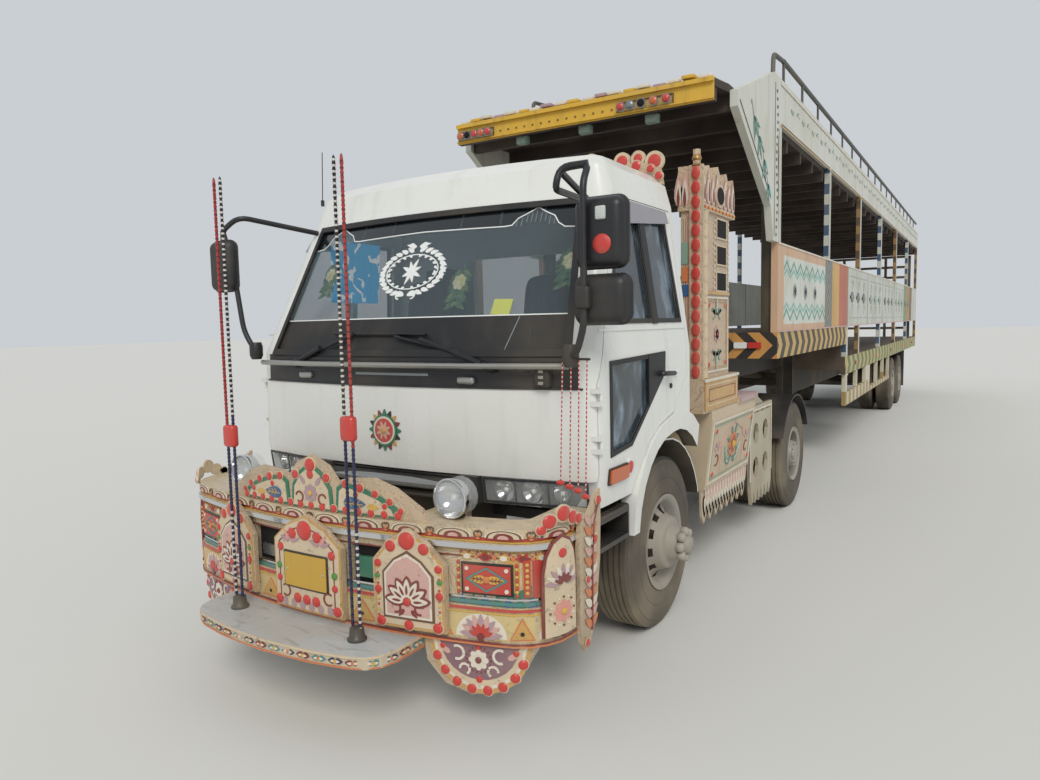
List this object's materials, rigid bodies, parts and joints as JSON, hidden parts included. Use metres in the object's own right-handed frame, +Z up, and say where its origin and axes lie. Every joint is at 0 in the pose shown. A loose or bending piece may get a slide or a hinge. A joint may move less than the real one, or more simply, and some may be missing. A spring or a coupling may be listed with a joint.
{
  "type": "decorated articulated car carrier lorry",
  "caption": "Cab-over tractor with painted bumper boards, whip rods and side towers, coupled to an open-sided two-deck car trailer",
  "frame": {"origin": "middle of the whole vehicle's box, at the ground", "axes": "+Y points to the tail, +X to the vehicle's left-hand side, +Z up"},
  "size_m": [3, 19.99, 4.272],
  "materials": {
    "chassis_paint": "satin",
    "engine_casting": "rough",
    "cab_paint": "gloss",
    "black_plastic": "satin",
    "clear_glass": "polished",
    "dash_plastic": "matte",
    "seat_fabric": "woven",
    "grille_metal": "polished",
    "lamp_lens": "polished",
    "painted_bumper": "gloss",
    "step_metal": "brushed",
    "painted_board": "gloss",
    "whip_steel": "satin",
    "tower_paint": "gloss",
    "box_paint": "satin",
    "tank_metal": "satin",
    "tyre_rubber": "dusty",
    "rim_paint": "dusty",
    "twin_wheel": "dusty",
    "deck_paint": "worn",
    "side_paint": "worn",
    "rail_paint": "worn",
    "skirt_paint": "worn"
  },
  "bodies": {
    "tractor": {"tractor_frame": "chassis_paint", "engine_block": "engine_casting", "front_axle": "chassis_paint", "rear_axle": "chassis_paint", "fifth_wheel": "chassis_paint", "cab_floor": "chassis_paint", "cab_front": "cab_paint", "cab_back": "cab_paint", "cab_roof": "cab_paint", "cowl_panel": "black_plastic", "cab_glass": "clear_glass", "dashboard": "dash_plastic", "cab_seats": "seat_fabric", "grille": "grille_metal", "lamps": "lamp_lens", "bumper_body": "painted_bumper", "bumper_step": "step_metal", "bumper_boards": "painted_board", "bumper_skirts": "painted_board", "whip_rods": "whip_steel", "mirrors": "black_plastic", "cab_steps": "black_plastic", "front_mudguards": "cab_paint", "towers": "tower_paint", "tool_boxes": "box_paint", "fuel_tanks": "tank_metal", "rear_mudguards": "tank_metal", "roof_crest": "painted_board", "grab_rail": "grille_metal"},
    "trailer": {"trailer_frame": "chassis_paint", "trailer_axles": "chassis_paint", "lower_deck": "deck_paint", "side_posts": "side_paint", "side_belts": "side_paint", "upper_deck": "deck_paint", "top_beams": "side_paint", "railings": "rail_paint", "side_skirts": "skirt_paint", "nose_lamps": "lamp_lens", "mud_flaps": "tyre_rubber"},
    "tail_ramp": {"tail_ramp": "deck_paint"},
    "tie_rod": {"tie_rod": "chassis_paint"},
    "knuckle_left": {"knuckle_left": "chassis_paint"},
    "front_wheel_left": {"front_tyre_left": "tyre_rubber", "front_rim_left": "rim_paint"},
    "rear_wheels_left": {"rear_tyres_left": "tyre_rubber", "rear_rims_left": "rim_paint"},
    "door_left": {"door_left": "cab_paint", "door_glass_left": "clear_glass"},
    "trailer_wheels_1_left": {"trailer_wheels_1_left": "twin_wheel"},
    "trailer_wheels_2_left": {"trailer_wheels_2_left": "twin_wheel"},
    "knuckle_right": {"knuckle_right": "chassis_paint"},
    "front_wheel_right": {"front_tyre_right": "tyre_rubber", "front_rim_right": "rim_paint"},
    "rear_wheels_right": {"rear_tyres_right": "tyre_rubber", "rear_rims_right": "rim_paint"},
    "door_right": {"door_right": "cab_paint", "door_glass_right": "clear_glass"},
    "trailer_wheels_1_right": {"trailer_wheels_1_right": "twin_wheel"},
    "trailer_wheels_2_right": {"trailer_wheels_2_right": "twin_wheel"}
  },
  "joints": [
    {"name": "coupling_turn", "type": "hinge", "parent": "tractor", "child": "trailer", "pos_m": [0, -4.395, 1.23], "axis": [0, 0, 1], "range_deg": [-90, 90]},
    {"name": "steer_left", "type": "hinge", "parent": "tractor", "child": "knuckle_left", "pos_m": [0.93, -7.865, 0.535], "axis": [0, 0, 1], "range_deg": [-35, 35]},
    {"name": "steer_right", "type": "hinge", "parent": "tractor", "child": "knuckle_right", "pos_m": [-0.93, -7.865, 0.535], "axis": [0, 0, 1], "range_deg": [-35, 35]},
    {"name": "tie_rod_swing", "type": "hinge", "parent": "knuckle_left", "child": "tie_rod", "pos_m": [0.93, -7.715, 0.4], "axis": [0, 0, 1], "range_deg": [-35, 35]},
    {"name": "front_wheel_spin_left", "type": "hinge", "parent": "knuckle_left", "child": "front_wheel_left", "pos_m": [1.045, -7.865, 0.535], "axis": [1, 0, 0], "continuous": true},
    {"name": "rear_wheel_spin_left", "type": "hinge", "parent": "tractor", "child": "rear_wheels_left", "pos_m": [0.93, -4.335, 0.535], "axis": [1, 0, 0], "continuous": true},
    {"name": "trailer_wheel_spin_1_left", "type": "hinge", "parent": "trailer", "child": "trailer_wheels_1_left", "pos_m": [0.93, 4.905, 0.535], "axis": [1, 0, 0], "continuous": true},
    {"name": "trailer_wheel_spin_2_left", "type": "hinge", "parent": "trailer", "child": "trailer_wheels_2_left", "pos_m": [0.93, 6.225, 0.535], "axis": [1, 0, 0], "continuous": true},
    {"name": "door_left_swing", "type": "hinge", "parent": "tractor", "child": "door_left", "pos_m": [1.25, -8.867, 1.42], "axis": [0, 0, 1], "range_deg": [-70, 0]},
    {"name": "front_wheel_spin_right", "type": "hinge", "parent": "knuckle_right", "child": "front_wheel_right", "pos_m": [-1.045, -7.865, 0.535], "axis": [1, 0, 0], "continuous": true},
    {"name": "rear_wheel_spin_right", "type": "hinge", "parent": "tractor", "child": "rear_wheels_right", "pos_m": [-0.93, -4.335, 0.535], "axis": [1, 0, 0], "continuous": true},
    {"name": "trailer_wheel_spin_1_right", "type": "hinge", "parent": "trailer", "child": "trailer_wheels_1_right", "pos_m": [-0.93, 4.905, 0.535], "axis": [1, 0, 0], "continuous": true},
    {"name": "trailer_wheel_spin_2_right", "type": "hinge", "parent": "trailer", "child": "trailer_wheels_2_right", "pos_m": [-0.93, 6.225, 0.535], "axis": [1, 0, 0], "continuous": true},
    {"name": "door_right_swing", "type": "hinge", "parent": "tractor", "child": "door_right", "pos_m": [-1.25, -8.867, 1.42], "axis": [0, 0, 1], "range_deg": [0, 70]},
    {"name": "tail_ramp_fold", "type": "hinge", "parent": "trailer", "child": "tail_ramp", "pos_m": [0, 9.945, 1.25], "axis": [-1, 0, 0], "range_deg": [0, 122]}
  ],
  "couplings": [
    {"joint": "steer_right", "follows": "steer_left", "ratio": 1},
    {"joint": "tie_rod_swing", "follows": "steer_left", "ratio": -1}
  ]
}
